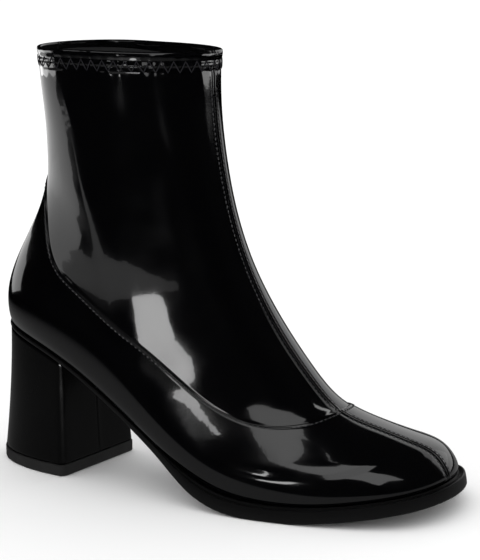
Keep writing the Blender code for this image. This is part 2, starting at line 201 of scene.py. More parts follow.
def spline(knots, values, at):
    """Natural cubic spline through the values, with straight ends."""
    knots = np.asarray(knots, float)
    values = np.asarray(values, float)
    at = np.asarray(at, float)
    steps = np.diff(knots)
    count = len(knots)
    matrix = np.eye(count)
    right = np.zeros(values.shape)
    for i in range(1, count - 1):
        matrix[i, i - 1:i + 2] = steps[i - 1], 2 * (steps[i - 1] + steps[i]), steps[i]
        rise = (values[i + 1] - values[i]) / steps[i]
        right[i] = 6 * (rise - (values[i] - values[i - 1]) / steps[i - 1])
    bends = np.linalg.solve(matrix, right)
    inside = np.clip(at, knots[0], knots[-1])
    k = np.clip(np.searchsorted(knots, inside, side="right") - 1, 0, count - 2)
    shape = at.shape + (1,) * (values.ndim - 1)
    width = steps[k].reshape(shape)
    low = (inside - knots[k]).reshape(shape)
    high = (knots[k + 1] - inside).reshape(shape)
    result = (bends[k] * high ** 3 + bends[k + 1] * low ** 3) / (6 * width)
    result += (values[k] / width - bends[k] * width / 6) * high
    result += (values[k + 1] / width - bends[k + 1] * width / 6) * low
    first = (values[1] - values[0]) / steps[0] - steps[0] * bends[1] / 6
    last = (values[-1] - values[-2]) / steps[-1] + steps[-1] * bends[-2] / 6
    below = np.minimum(at - knots[0], 0).reshape(shape)
    above = np.maximum(at - knots[-1], 0).reshape(shape)
    return result + first * below + last * above


LAST_TABLE = np.array(LAST_ROWS)
LAST_KNOTS = np.linspace(0, 1, len(LAST_ROWS))
CURVE_TABLE = np.array(SOLE_CURVE)
BEND_TABLE = np.array(BEND)
SEAM_TABLE = np.array(VAMP_SEAM)
SECTION_TABLE = np.array(SOLE_SECTIONS)


def smooth(value, low=0.0, high=1.0):
    """Smooth step from 0 at low to 1 at high."""
    t = np.clip((np.asarray(value, float) - low) / (high - low), 0, 1)
    return t * t * (3 - 2 * t)


def bell(value, centre, half):
    """A smooth bump, 1 at the centre and 0 a few half widths off."""
    return np.exp(-((np.asarray(value, float) - centre) / half) ** 2)


def ridge(value, height, middle, half):
    """A bump of a given height, or a dip where the height is below zero."""
    return height * bell(value, middle, half)


def sole_curve(share):
    """Height of the feather line from back, 0, to toe, 1."""
    shape = spline(CURVE_TABLE[:, 0], CURVE_TABLE[:, 1:], share)
    rise = (SEAT_HEIGHT - BALL_FEATHER) * shape[..., 0]
    return BALL_FEATHER + rise + (TOE_FEATHER - BALL_FEATHER) * shape[..., 1]


def last_row(height):
    """The last's values at a height, by the names of their columns."""
    return dict(zip(LAST_COLUMNS, np.moveaxis(spline(LAST_KNOTS, LAST_TABLE, height), -1, 0)))


def last_surface(height, angle):
    """The outer wall: height from 0 (feather) to 1 (rim), angle from 0 (back) to pi (front)."""
    height, angle = np.broadcast_arrays(np.asarray(height, float), np.asarray(angle, float))
    row = last_row(height)
    turn = np.cos(angle)
    share = (1 - turn) / 2
    heel = row["heel"] * HEEL_WIDTH
    waist = row["waist"] * HEEL_WIDTH
    ball = row["ball"] * BALL_WIDTH
    stations = spline(WIDTH_STATIONS, np.eye(len(WIDTH_STATIONS)), share)
    wide = stations[..., 0] * heel * BACK_WIDTH + stations[..., 1] * heel + stations[..., 2] * waist
    wide += stations[..., 3] * ball + stations[..., 4] * ball * TOE_WIDTH
    blunt = np.where(turn > 0, row["heel_end"], row["toe_end"])
    end = np.sqrt(np.clip(1 - np.abs(turn) ** blunt, 0, 1))
    bend = spline(BEND_TABLE[:, 0], BEND_TABLE[:, 1], share) * BALL_WIDTH
    y = row["swing"] * bend - np.sign(np.sin(angle)) * wide * end
    x = LAST_LENGTH * (row["back"] + (row["front"] - row["back"]) * share)
    back_z = SEAT_HEIGHT + (BOOT_HEIGHT - SEAT_HEIGHT) * row["back_up"]
    front_z = TOE_FEATHER + (BOOT_HEIGHT - TOE_FEATHER) * row["front_up"]
    curve = (sole_curve(share) - TOE_FEATHER) / (SEAT_HEIGHT - TOE_FEATHER)
    climb = row["follow"] * curve + (1 - row["follow"]) * (1 - share)
    return np.stack([x, y, front_z + (back_z - front_z) * climb], -1)


def outward(height, angle, step=2e-3):
    """Unit normals of the outer wall, by differences."""
    around = last_surface(height, angle + step) - last_surface(height, angle - step)
    upward = last_surface(height + step, angle) - last_surface(height - step, angle)
    normal = np.cross(around, upward)
    return normal / np.linalg.norm(normal, axis=-1, keepdims=True)


def climb_rate(height, angle, step=1e-3):
    """Metres of wall for one unit of height."""
    upward = last_surface(height + step, angle) - last_surface(height - step, angle)
    return np.linalg.norm(upward, axis=-1) / (2 * step)


def vamp_height(angle):
    """Height of the seam between the foot part and the shaft."""
    share = np.abs((angle + np.pi) % (2 * np.pi) - np.pi) / np.pi
    return spline(SEAM_TABLE[:, 0], SEAM_TABLE[:, 1], share)


def hem_height(angle):
    """Height of the hem's zigzag, a set way below the rim."""
    near = last_surface(np.full_like(angle, 0.95), angle)
    rim = last_surface(np.ones_like(angle), angle)
    return 1 - 0.05 * HEM_DEPTH / np.linalg.norm(rim - near, axis=-1)


def feather_share(x):
    """Share of the way along the feather line from back to toe."""
    back, front = LAST_TABLE[0, 0], LAST_TABLE[0, 2]
    return (x / LAST_LENGTH - back) / (front - back)


def last_bottom(x):
    """Height of the last's bottom."""
    return sole_curve(feather_share(x))


def ring_angles(height_of, columns):
    """Angles of a row's columns by arc length, close together beside both centre seams, and each
    one's distance from the back seam and from the front seam."""
    probe = np.linspace(0, np.pi, 1441)
    halves = []
    for sign in (1, -1):
        line = last_surface(height_of(sign * probe), sign * np.maximum(probe, 1e-7))
        length = np.concatenate([[0], np.cumsum(np.linalg.norm(np.diff(line, axis=0), axis=1))])
        total = length[-1]
        count = columns // 2 - 2 * (len(SEAM_OFFSETS) - 1)
        ends = np.array(SEAM_OFFSETS)
        middle = np.linspace(ends[-1], total - ends[-1], count + 1)[1:-1]
        places = np.concatenate([ends, middle, (total - ends)[::-1]])
        halves.append((np.interp(places, length, probe), places, total - places))
    angle = np.concatenate([halves[0][0], 2 * np.pi - halves[1][0][-2:0:-1]])
    from_back = np.concatenate([halves[0][1], halves[1][1][-2:0:-1]])
    from_front = np.concatenate([halves[0][2], halves[1][2][-2:0:-1]])
    return angle, from_back, from_front


def feather_angles(columns):
    """Angles of the columns of a ring at the feather line."""
    return ring_angles(np.zeros_like, columns)[0]


def seam_profile(out, row):
    """Height of a felled centre seam a given way out from its line: a groove between two rolled
    edges, then the dip of the stitch row."""
    return ridge(out, *SEAM_ROLL) + ridge(out, *SEAM_GROOVE) + ridge(out, ROW_DEPTH, row, ROW_HALF)


def foot_lift(height, from_seam, from_back, from_front):
    """Relief of the foot part: rolled top edge, stitch row under it, toe seam."""
    lift = -PANEL_STEP * (1 - smooth(from_seam, 0.0, 0.0005))
    lift += ridge(from_seam, *FOOT_EDGE_ROLL)
    lift += ridge(from_seam, *FOOT_EDGE_ROW)
    fade = smooth(height, 0.0, 0.05) * smooth(from_seam, 0.0003, 0.0018)
    lift += seam_profile(from_front, TOE_ROW) * fade
    lift += seam_profile(from_back, BACK_ROW) * fade * 0.6
    return lift


def shaft_lift(from_seam, below_rim, from_back, from_front):
    """Relief of the shaft: tucked under the foot part, hem turned over and puckered by its
    zigzag."""
    lift = np.full(np.shape(from_seam), -PANEL_STEP)
    lift -= 0.00012 * (1 - smooth(from_seam, 0.0, 0.0016))
    seam = seam_profile(from_front, SHAFT_ROW) * smooth(from_seam, 0.0, 0.002)
    seam += seam_profile(from_back, SHAFT_ROW) * smooth(from_seam, 0.0, 0.002) * 0.7
    hem = 1 - smooth(below_rim, HEM_DEPTH - HEM_EDGE, HEM_DEPTH + HEM_EDGE)
    lift += seam * (1 - 0.35 * hem)
    lift += hem * PANEL_STEP * HEM_RISE
    along = from_back / ZIGZAG_PITCH
    pucker = np.sin(along * 2 * np.pi) + 0.5 * np.sin(along * 1.37 * np.pi + 1)
    lift += PUCKER_HEIGHT * pucker * bell(below_rim, HEM_DEPTH, PUCKER_REACH)
    lift += ridge(below_rim, *ZIGZAG_HIGH_ROW)
    lift += ridge(below_rim, *ZIGZAG_LOW_ROW)
    lift += ridge(below_rim, *RIM_ROUND)
    return lift


def new_mesh(name, points, quads, material, smooth_faces=True):
    """A mesh object from arrays of points and quads."""
    points = np.asarray(points, np.float32)
    quads = np.asarray(quads, np.int32)
    mesh = bpy.data.meshes.new(name)
    mesh.vertices.add(len(points))
    mesh.vertices.foreach_set("co", points.ravel())
    mesh.loops.add(quads.size)
    mesh.loops.foreach_set("vertex_index", quads.ravel())
    mesh.polygons.add(len(quads))
    starts = np.arange(0, quads.size, quads.shape[1], dtype=np.int32)
    mesh.polygons.foreach_set("loop_start", starts)
    mesh.update(calc_edges=True)
    mesh.validate()
    mesh.polygons.foreach_set("use_smooth", np.full(len(mesh.polygons), smooth_faces))
    mesh.materials.append(material)
    item = bpy.data.objects.new(name, mesh)
    bpy.context.scene.collection.objects.link(item)
    return item


def band_quads(rows, size, closed):
    """Quads between neighbouring rings of the same size."""
    index = np.arange(rows * size).reshape(rows, size)
    low = index if closed else index[:-1]
    high = np.roll(index, -1, axis=0) if closed else index[1:]
    corners = [low, np.roll(low, -1, axis=1), np.roll(high, -1, axis=1), high]
    return np.stack(corners, -1).reshape(-1, 4)


def make_shell(name, rings, material):
    """A closed piece from rings that turn back on themselves."""
    quads = band_quads(len(rings), len(rings[0]), True)
    return new_mesh(name, np.concatenate(rings) - ORIGIN, quads, material)


def add_piece(item, slot, *nodes):
    """Rides the boot's one body and hides the nodes that it stands for; the material slot is not
    used.
    """
    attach(item, "root")
    if nodes:
        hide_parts(*nodes)


def foot_rings():
    """Rings of the foot part: the lasting margin, up to the stitched edge and back down inside."""
    low = np.array([0.0, 0.006, 0.014, 0.026, 0.042])
    near = np.array([0.0, 0.0002, 0.0004, 0.0006, 0.0009, 0.0012, 0.0015, 0.0019, 0.0023, 0.0028,
                     0.0035, 0.0044])
    places = [("low", height) for height in low]
    places += [("mid", k / MID_RINGS) for k in range(1, MID_RINGS)]
    places += [("near", distance) for distance in near[::-1]]
    outer = []
    for kind, place in places:
        def height_of(angle):
            seam = vamp_height(angle)
            top = seam - near[-1] / climb_rate(seam - 0.03, angle)
            if kind == "low":
                return np.full_like(angle, place)
            if kind == "mid":
                return low[-1] + (top - low[-1]) * place
            return seam - place / climb_rate(seam - 0.01, angle)
        angle, from_back, from_front = ring_angles(height_of, RING_COLUMNS)
        height = height_of(angle)
        seam = vamp_height(angle)
        from_seam = (seam - height) * climb_rate((seam + height) / 2, angle)
        lift = foot_lift(height, from_seam, from_back, from_front)
        outer.append(last_surface(height, angle) + outward(height, angle) * lift[..., None])
    last = len(outer) - 1
    inner = [inset_ring(outer[k], FOOT_SKIN) for k in [last] + list(range(last - 7, 1, -4))]
    angle = feather_angles(RING_COLUMNS)
    under = []
    for out in (-LASTING_MARGIN, -0.003, -0.001):
        plan = feather_plan(angle, out)
        under.append(np.column_stack([plan, last_bottom(plan[:, 0]) + 0.00005]))
    margin = feather_plan(angle, -LASTING_MARGIN)
    top = np.column_stack([margin, last_bottom(margin[:, 0]) + 0.0008])
    return under + outer + inner + [top]


def inset_ring(ring, depth):
    """A ring moved inwards, square to itself in plan."""
    along = np.roll(ring, -1, axis=0) - np.roll(ring, 1, axis=0)
    side = np.stack([along[:, 1], -along[:, 0]], -1)
    side /= np.maximum(np.linalg.norm(side, axis=-1, keepdims=True), 1e-9)
    moved = ring.copy()
    moved[:, :2] -= side * depth
    return moved


def feather_plan(angle, out):
    """The feather line moved outwards in plan."""
    zero = np.zeros_like(angle)
    points = last_surface(zero, angle)
    along = last_surface(zero, angle + 2e-3) - last_surface(zero, angle - 2e-3)
    side = np.stack([along[:, 1], -along[:, 0]], -1)
    side /= np.linalg.norm(side, axis=-1, keepdims=True)
    return points[:, :2] + side * np.broadcast_to(out, angle.shape)[:, None]


def shaft_rings():
    """Rings of the shaft: from under the foot part to the hem, over the rim, down its turned-in
    side and the inner skin."""
    near = np.array([-0.0012, -0.0003, 0.0003, 0.0008, 0.0014, 0.0022, 0.0032, 0.0045])
    hem = HEM_DEPTH + np.array([0.0050, 0.0038, 0.0030, 0.0024, 0.0018, 0.0013, 0.0009, 0.0006,
                                0.0003, 0.0, -0.0003, -0.0006, -0.0010, -0.0015, -0.0020, -0.0025,
                                -0.0031, -0.0038, -0.0046])
    top = np.array([0.0038, 0.0030, 0.0023, 0.0017, 0.0012, 0.0008])
    places = [("near", distance) for distance in near]
    places += [("mid", k / SHAFT_MID_RINGS) for k in range(1, SHAFT_MID_RINGS)]
    places += [("top", below) for below in np.concatenate([hem, top])]
    rings = []
    for kind, place in places:
        def height_of(angle):
            seam = vamp_height(angle)
            low = seam + near[-1] / climb_rate(seam + 0.02, angle)
            rim_rate = climb_rate(np.full_like(angle, RIM_PROBE), angle)
            high = 1 - hem[0] / rim_rate
            if kind == "near":
                return seam + place / climb_rate(seam + 0.01, angle)
            if kind == "mid":
                return low + (high - low) * place
            return 1 - place / rim_rate
        angle, from_back, from_front = ring_angles(height_of, RING_COLUMNS)
        height = height_of(angle)
        seam = vamp_height(angle)
        from_seam = (height - seam) * climb_rate((seam + height) / 2, angle)
        below = (1 - height) * climb_rate(np.full_like(angle, RIM_PROBE), angle)
        lift = shaft_lift(from_seam, below, from_back, from_front)
        rings.append(last_surface(height, angle) + outward(height, angle) * lift[..., None])
    edge = rings[-1]
    for turn in np.linspace(0, np.pi, 9)[1:]:
        roll = inset_ring(edge, RIM_ROLL * (1 - math.cos(turn)))
        roll[:, 2] += RIM_ROLL * math.sin(turn)
        rings.append(roll)
    inside = rings[-1]
    for drop in (0.0010, 0.0022, 0.0040, 0.0060, 0.0080, 0.0095, 0.0100):
        end = 0.0006 if drop > 0.0097 else 0
        fold = inset_ring(inside, -0.0002 + 0.0002 * math.cos(drop * 500) + end)
        fold[:, 2] -= drop
        rings.append(fold)
    return rings + [inset_ring(rings[k], SHAFT_SKIN) for k in range(62, 2, -4)]


def lining_rings():
    """Rings of the lining, a thin closed skin from behind the hem down to the insole."""
    outer = []
    inner = []
    for k in range(LINING_RINGS):
        height = 0.975 - 0.95 * (k / (LINING_RINGS - 1))
        angle = ring_angles(lambda a: np.full_like(a, height), RING_COLUMNS // 2)[0]
        flat = np.full_like(angle, height)
        wall = last_surface(flat, angle)
        normal = outward(flat, angle)
        wave = 0.00012 * np.sin(9 * angle + 30 * height)
        inner.append(wall - normal * (WALL + wave)[..., None])
        outer.append(wall - normal * (WALL - LINING_SKIN))
    return inner + outer[::-1]


def stitch_template(long, wide, high, sides=8):
    """A rounded stitch lying along its first axis."""
    stations = np.array([-1.0, -0.86, -0.45, 0.0, 0.45, 0.86, 1.0])
    girth = np.array([0.25, 0.7, 0.97, 1.0, 0.97, 0.7, 0.25])
    sink = np.array([-1.0, -0.55, -0.08, 0.0, -0.08, -0.55, -1.0])
    turn = np.arange(sides) * 2 * np.pi / sides
    points = []
    for s, g, d in zip(stations, girth, sink):
        along = np.full(sides, s * long / 2)
        up = np.sin(turn) * high / 2 * g + d * high * 0.5
        points.append(np.column_stack([along, np.cos(turn) * wide / 2 * g, up]))
    points = np.concatenate(points)
    quads = [tuple(q) for q in band_quads(len(stations), sides, False)]
    far = (len(stations) - 1) * sides
    for cap in (range(sides)[::-1], range(far, far + sides)):
        quads += [(cap[0], cap[i], cap[i + 1], cap[i + 2]) for i in range(1, sides - 2, 2)]
    return points, np.array(quads)


def lay_stitches(name, centres, tangents, normals, template, material):
    """Copies of one stitch, each turned to its own tangent and normal, in one mesh."""
    points, faces = template
    tangents = tangents / np.linalg.norm(tangents, axis=1, keepdims=True)
    across = np.cross(normals, tangents)
    across /= np.linalg.norm(across, axis=1, keepdims=True)
    up = np.cross(tangents, across)
    placed = centres[:, None] + points[None, :, :1] * tangents[:, None]
    placed = placed + points[None, :, 1:2] * across[:, None]
    placed = placed + points[None, :, 2:] * up[:, None]
    offset = np.arange(len(centres))[:, None, None] * len(points)
    quads = (faces[None] + offset).reshape(-1, 4)
    return new_mesh(name, placed.reshape(-1, 3) - ORIGIN, quads, material)


def along_line(points, pitch):
    """Places at an even pitch along a polyline, as fractional indices."""
    length = np.concatenate([[0], np.cumsum(np.linalg.norm(np.diff(points, axis=0), axis=1))])
    count = max(2, int(length[-1] / pitch))
    places = (np.arange(count) + 0.5) * length[-1] / count
    return np.interp(places, length, np.arange(len(points)))


def stitch_row(height, angle, lift, pitch):
    """Centres, tangents and normals of a row of stitches along a line on the wall."""
    normal = outward(height, angle)
    points = last_surface(height, angle) + normal * lift[..., None]
    at = along_line(points, pitch)
    index = np.arange(len(points))
    centre = np.stack([np.interp(at, index, points[:, i]) for i in range(3)], -1)
    tangent = np.stack([np.interp(at, index, np.gradient(points[:, i])) for i in range(3)], -1)
    side = np.stack([np.interp(at, index, normal[:, i]) for i in range(3)], -1)
    return centre, tangent, side


def seam_side_angle(height, out, front, sign):
    """Angle at a distance to one side of a centre seam, for each height."""
    guess = np.full_like(height, 0.05)
    centre = np.pi if front else 0.0
    for _ in range(12):
        here = last_surface(height, centre + sign * guess)
        middle = last_surface(height, np.full_like(height, centre) + sign * 1e-6)
        guess = guess * out / np.maximum(np.linalg.norm(here - middle, axis=-1), 1e-9)
        guess = np.clip(guess, 1e-4, 0.9)
    return centre + sign * guess


def all_stitch_rows():
    """Rows beside the vamp seam, the toe seam and the shaft's front and back seams."""
    rows = []
    turn = np.linspace(0.06, 2 * np.pi - 0.06, 2400)
    turn = turn[np.abs(turn - np.pi) > 0.035]
    for half in (turn[turn < np.pi], turn[turn > np.pi]):
        seam = vamp_height(half)
        height = seam - VAMP_ROW / climb_rate(seam - 0.01, half)
        rows.append(stitch_row(height, half, np.full_like(half, THREAD_PROUD), VAMP_PITCH))
    front = float(vamp_height(np.array([np.pi]))[0])
    back = float(vamp_height(np.array([0.0]))[0])
    # Low end, high end, samples, distance from the seam, at the front or not, height over the last
    seams = (
        (0.045, front - 0.025, 300, TOE_ROW, True, THREAD_PROUD),
        (front + 0.012, 0.945, 400, SHAFT_ROW, True, -PANEL_STEP + THREAD_PROUD),
        (back + 0.02, 0.945, 300, SHAFT_ROW, False, -PANEL_STEP + THREAD_PROUD),
    )
    for sign in (1, -1):
        for low, high, samples, out, at_front, lift in seams:
            height = np.linspace(low, high, samples)
            angle = seam_side_angle(height, out, at_front, sign)
            rows.append(stitch_row(height, angle, np.full_like(height, lift), SEAM_PITCH))
    return [np.concatenate(group) for group in zip(*rows)]


def zigzag_rows():
    """Centres, directions, normals and length of the legs of the zigzag that holds the hem."""
    angle = ring_angles(hem_height, RING_COLUMNS)[0]
    line = last_surface(hem_height(angle), angle)
    line = np.concatenate([line, line[:1]])
    angle = np.concatenate([angle, [2 * np.pi]])
    steps = np.linalg.norm(np.diff(line, axis=0), axis=1)
    length = np.concatenate([[0], np.cumsum(steps)])
    count = 2 * round(length[-1] / ZIGZAG_PITCH)
    at = np.interp(np.arange(count + 1) * length[-1] / count, length, angle)
    rate = climb_rate(np.full_like(at, RIM_PROBE), at)
    swing = np.where(np.arange(count + 1) % 2 == 0, ZIGZAG_SWING, -ZIGZAG_SWING)
    height = hem_height(at) + swing / rate
    lift = np.where(swing > 0, 0.00004, -0.00028)
    normal = outward(height, at)
    points = last_surface(height, at) + normal * lift[:, None]
    centre = (points[1:] + points[:-1]) / 2
    side = (normal[1:] + normal[:-1]) / 2
    centre += side / np.linalg.norm(side, axis=1, keepdims=True) * 0.00012
    return centre, points[1:] - points[:-1], side, float(np.linalg.norm(points[1] - points[0]))


def sole_rings():
    """Rings of the outsole, with a rounded rib, groove and tread edge."""
    angle = feather_angles(SOLE_COLUMNS)
    share = feather_share(last_surface(np.zeros_like(angle), angle)[:, 0])
    edge = np.clip(spline(SECTION_TABLE[:, 0], SECTION_TABLE[:, 1], share), 0, 1)
    rings = []
    # Share of the welt's width, and height as a share of the rib's or of the groove's
    welt = (
        (0.10, 0.0), (0.22, 0.05), (0.27, 0.45), (0.31, 0.9), (0.36, 1.0), (0.41, 0.9),
        (0.45, 0.3), (0.49, -0.5), (0.53, -1.0), (0.57, -1.0), (0.61, -0.75), (0.65, -0.25),
        (0.70, 0.0), (0.80, 0.0), (0.90, -0.05), (0.96, -0.35), (1.0, -1.0),
    )
    for out, up in welt:
        narrow = SEAT_EDGE * (0.45 + 0.55 * out)
        plan = feather_plan(angle, narrow + (out * WELT_WIDTH - narrow) * edge)
        tall = RIB_HEIGHT if up > 0 else GROOVE_DEPTH
        share_of_edge = edge if out < 0.9 else 0.4 + edge * 0.6
        z = last_bottom(plan[:, 0]) - FIT_GAP + up * tall * share_of_edge
        rings.append(np.column_stack([plan, z]))
    full = SEAT_EDGE + (WELT_WIDTH + SIDE_FLARE - SEAT_EDGE) * edge
    top = rings[-1]
    low = tread_height(feather_plan(angle, full)[:, 0])
    for drop in (0.12, 0.3, 0.5, 0.7, 0.88):
        belly = 0.00012 * math.sin(drop * np.pi)
        plan = feather_plan(angle, full - SIDE_FLARE * edge * (1 - drop) + belly)
        rings.append(np.column_stack([plan, top[:, 2] + (low + 0.0007 - top[:, 2]) * drop]))
    for out, up in ((0.0, 0.0007), (-0.0001, 0.0004), (-0.0003, 0.00015), (-0.0006, 0.0)):
        plan = feather_plan(angle, full + out)
        rings.append(np.column_stack([plan, tread_height(plan[:, 0]) + up]))
    return rings


def tread_height(x):
    """Height of the sole's tread, never below the floor."""
    thick = np.interp(feather_share(x), SECTION_TABLE[:, 0], SECTION_TABLE[:, 2])
    return np.maximum(last_bottom(x) - FIT_GAP - thick, 0.0)


def cap_quads(first, size):
    """Quads that fill a ring from side to side."""
    half = size // 2
    left = [first + i for i in range(half + 1)]
    right = [first + (size - i) % size for i in range(half + 1)]
    return [(left[i], left[i + 1], right[i + 1], right[i]) for i in range(half)]


def ring_solid(name, rings, material):
    """A closed piece from rings that are capped at both ends."""
    size = len(rings[0])
    points = np.concatenate(rings) - ORIGIN
    faces = [tuple(q) for q in band_quads(len(rings), size, False)]
    faces += cap_quads(0, size)
    faces += [q[::-1] for q in cap_quads((len(rings) - 1) * size, size)]
    mesh = bpy.data.meshes.new(name)
    mesh.from_pydata([tuple(p) for p in points], [], [list(dict.fromkeys(f)) for f in faces])
    mesh.validate()
    turn_faces_out(mesh)
    mesh.polygons.foreach_set("use_smooth", np.full(len(mesh.polygons), True))
    mesh.materials.append(material)
    item = bpy.data.objects.new(name, mesh)
    bpy.context.scene.collection.objects.link(item)
    return item


def turn_faces_out(mesh):
    """Turns all faces of a closed mesh outwards."""
    body = bmesh.new()
    body.from_mesh(mesh)
    bmesh.ops.recalc_face_normals(body, faces=body.faces[:])
    body.to_mesh(mesh)
    body.free()


def sharpen(item):
    """Shades sharp where faces meet at a steep angle."""
    bpy.context.view_layer.objects.active = item
    for other in bpy.context.selected_objects:
        other.select_set(False)
    item.select_set(True)
    bpy.ops.object.shade_smooth_by_angle(angle=math.radians(SHARP_DEGREES))


def heel_shares(steps):
    """Shares of the heel's length from back to breast, close together at both ends."""
    turn = np.linspace(0, np.pi / 2, steps)
    back = 1 - np.cos(turn)
    corner = 1 - HEEL_CORNER / HEEL_LENGTH * (1 - np.sin(np.linspace(0, np.pi / 2, 9)))
    return np.concatenate([back[back < corner[0] - 0.01], corner])


def rounded_breast(share, half):
    """Half widths with the corners beside the breast rounded."""
    reach = np.clip((share - 1) * HEEL_LENGTH + HEEL_CORNER, 0, HEEL_CORNER)
    return half - HEEL_CORNER + np.sqrt(HEEL_CORNER ** 2 - reach ** 2)


def heel_top_plan(share):
    """Outline of the heel's top, under the seat of the sole."""
    sides = []
    for sign in (1, -1):
        skew = -sign * math.tan(HEEL_TURN) * HEEL_WIDTH / 2
        back = LAST_TABLE[0, 0] * LAST_LENGTH
        x = back + (HEEL_TOP_BREAST + skew - back) * share
        angle = sign * np.arccos(1 - 2 * feather_share(x))
        plan = feather_plan(angle, SEAT_EDGE - FIT_GAP)
        middle = plan[0, 1]
        half = np.abs(plan[:, 1] - middle)
        plan[:, 1] = middle - sign * rounded_breast(share, half)
        sides.append(plan)
    return np.concatenate([sides[0], sides[1][:0:-1]])


def heel_base_plan(share, out):
    """Outline of the heel's base, moved outwards."""
    half = HEEL_BASE_WIDTH / 2 * np.sqrt(1 - (1 - share) ** HEEL_ROUND)
    half = rounded_breast(share, half)
    x = HEEL_BACK + HEEL_LENGTH * share
    near = np.column_stack([x, -half])
    far = np.column_stack([x, half])[:0:-1]
    plan = np.concatenate([near, far])
    along = np.roll(plan, -1, axis=0) - np.roll(plan, 1, axis=0)
    side = np.stack([along[:, 1], -along[:, 0]], -1)
    plan = plan + side / np.linalg.norm(side, axis=-1, keepdims=True) * out
    c, s = math.cos(HEEL_TURN), math.sin(HEEL_TURN)
    return np.column_stack([plan[:, 0] * c + plan[:, 1] * s, plan[:, 1] * c - plan[:, 0] * s])


def fill_breast(plan, share_count):
    """Adds points across the flat breast, close together beside the wrap's seam in its middle."""
    left = plan[share_count - 1]
    right = plan[share_count]
    middle = left + (right - left) * BREAST_SHARES[:, None]
    groove = bell(BREAST_SHARES, 0.5, 0.006) * 0.00028
    groove -= bell(BREAST_SHARES, 0.516, 0.012) * 0.00010
    normal = np.array([right[1] - left[1], left[0] - right[0]])
    normal = normal / np.linalg.norm(normal)
    middle = middle - normal * groove[:, None]
    return np.concatenate([plan[:share_count], middle, plan[share_count:]])


def heel_rings():
    """Rings of the heel from the sole down to the lift."""
    share = heel_shares(HEEL_STEPS)
    count = len(share)
    top = heel_top_plan(share)
    base = heel_base_plan(share, 0.0)
    top_z = tread_height(top[:, 0]) - FIT_GAP
    rings = []
    drops = np.concatenate([[0.0, 0.004, 0.012], np.linspace(0.03, 0.97, 26), [0.985, 0.994, 1.0]])
    for drop in drops:
        plan = top + (base - top) * drop ** HEEL_FLARE
        round_edge = 0.00035 * (1 - smooth(1 - drop, 0.0, 0.012))
        round_edge += 0.00025 * (1 - smooth(drop, 0.0, 0.01))
        centre = plan.mean(axis=0)
        away = plan - centre
        plan = plan - away / np.linalg.norm(away, axis=1, keepdims=True) * round_edge
        z = top_z + (LIFT_HEIGHT + FIT_GAP - top_z) * drop
        ring = np.column_stack([fill_breast(plan, count), fill_column(z, count)])
        rings.append(ring)
    return rings


def fill_column(z, count):
    """Heights of the points that fill_breast adds."""
    middle = z[count - 1] + (z[count] - z[count - 1]) * BREAST_SHARES
    return np.concatenate([z[:count], middle, z[count:]])


def lift_rings():
    """Rings of the heel lift, with rounded edges."""
    share = heel_shares(HEEL_STEPS)
    rings = []
    profile = (
        (-0.0012, LIFT_HEIGHT), (-0.0004, LIFT_HEIGHT), (-0.00012, LIFT_HEIGHT - 0.00012),
        (0.0, LIFT_HEIGHT - 0.0004), (0.0, 0.0036), (0.0, 0.0018), (0.0, 0.0006),
        (-0.00015, 0.0002), (-0.0005, 0.0),
    )
    for out, z in profile:
        plan = heel_base_plan(share, LIFT_PROUD + out)
        rings.append(np.column_stack([plan, np.full(len(plan), z)]))
    return rings


def insole_rings():
    """Rings of the insole with a soft, rounded sock."""
    angle = feather_angles(INSOLE_COLUMNS)
    profile = ((0.0, 0.0), (-0.0001, 0.0010), (0.0, 0.0016), (0.0005, 0.0019),
               (0.0013, INSOLE_THICK))
    rings = []
    for inset, up in profile:
        plan = feather_plan(angle, -WALL - 3 * FIT_GAP - inset)
        rings.append(np.column_stack([plan, last_bottom(plan[:, 0]) + WALL + FIT_GAP + up]))
    return rings


# Materials


def principled(name, **values):
    """A Principled material with its constants set on the shader's own sockets."""
    material = bpy.data.materials.new(name)
    material.use_nodes = True
    shader = material.node_tree.nodes["Principled BSDF"]
    for key, value in values.items():
        socket = shader.inputs[key.replace("_", " ")]
        socket.default_value = value
    return material, shader


def bare_material(name):
    """A material without nodes."""
    material = bpy.data.materials.new(name)
    material.use_nodes = True
    material.node_tree.nodes.clear()
    return material


def add_node(owner, kind, **values):
    """A node of a material or world, with values for its sockets or for the node itself."""
    node = owner.node_tree.nodes.new(kind)
    for key, value in values.items():
        socket = key.replace("_", " ")
        if socket in node.inputs:
            node.inputs[socket].default_value = value
        else:
            setattr(node, key, value)
    return node


def wire(owner, source, target):
    """Links two sockets of a material or world."""
    owner.node_tree.links.new(source, target)


def noise_bump(material, shader, scale, distance, coat=False):
    """Object-space noise as bump."""
    place = add_node(material, "ShaderNodeTexCoord")
    noise = add_node(material, "ShaderNodeTexNoise", Scale=scale, Detail=3.0)
    bump = add_node(material, "ShaderNodeBump", Strength=1.0, Distance=distance)
    wire(material, place.outputs["Object"], noise.inputs["Vector"])
    wire(material, noise.outputs["Fac"], bump.inputs["Height"])
    wire(material, bump.outputs["Normal"], shader.inputs["Normal"])
    if coat:
        wire(material, bump.outputs["Normal"], shader.inputs["Coat Normal"])


def noise_roughness(material, shader, scale, low, high):
    """Roughness that varies a little from place to place."""
    place = add_node(material, "ShaderNodeTexCoord")
    noise = add_node(material, "ShaderNodeTexNoise", Scale=scale, Detail=4.0)
    spread = add_node(material, "ShaderNodeMapRange", From_Min=0.35, From_Max=0.65, To_Min=low,
                      To_Max=high)
    wire(material, place.outputs["Object"], noise.inputs["Vector"])
    wire(material, noise.outputs["Fac"], spread.inputs["Value"])
    wire(material, spread.outputs["Result"], shader.inputs["Roughness"])


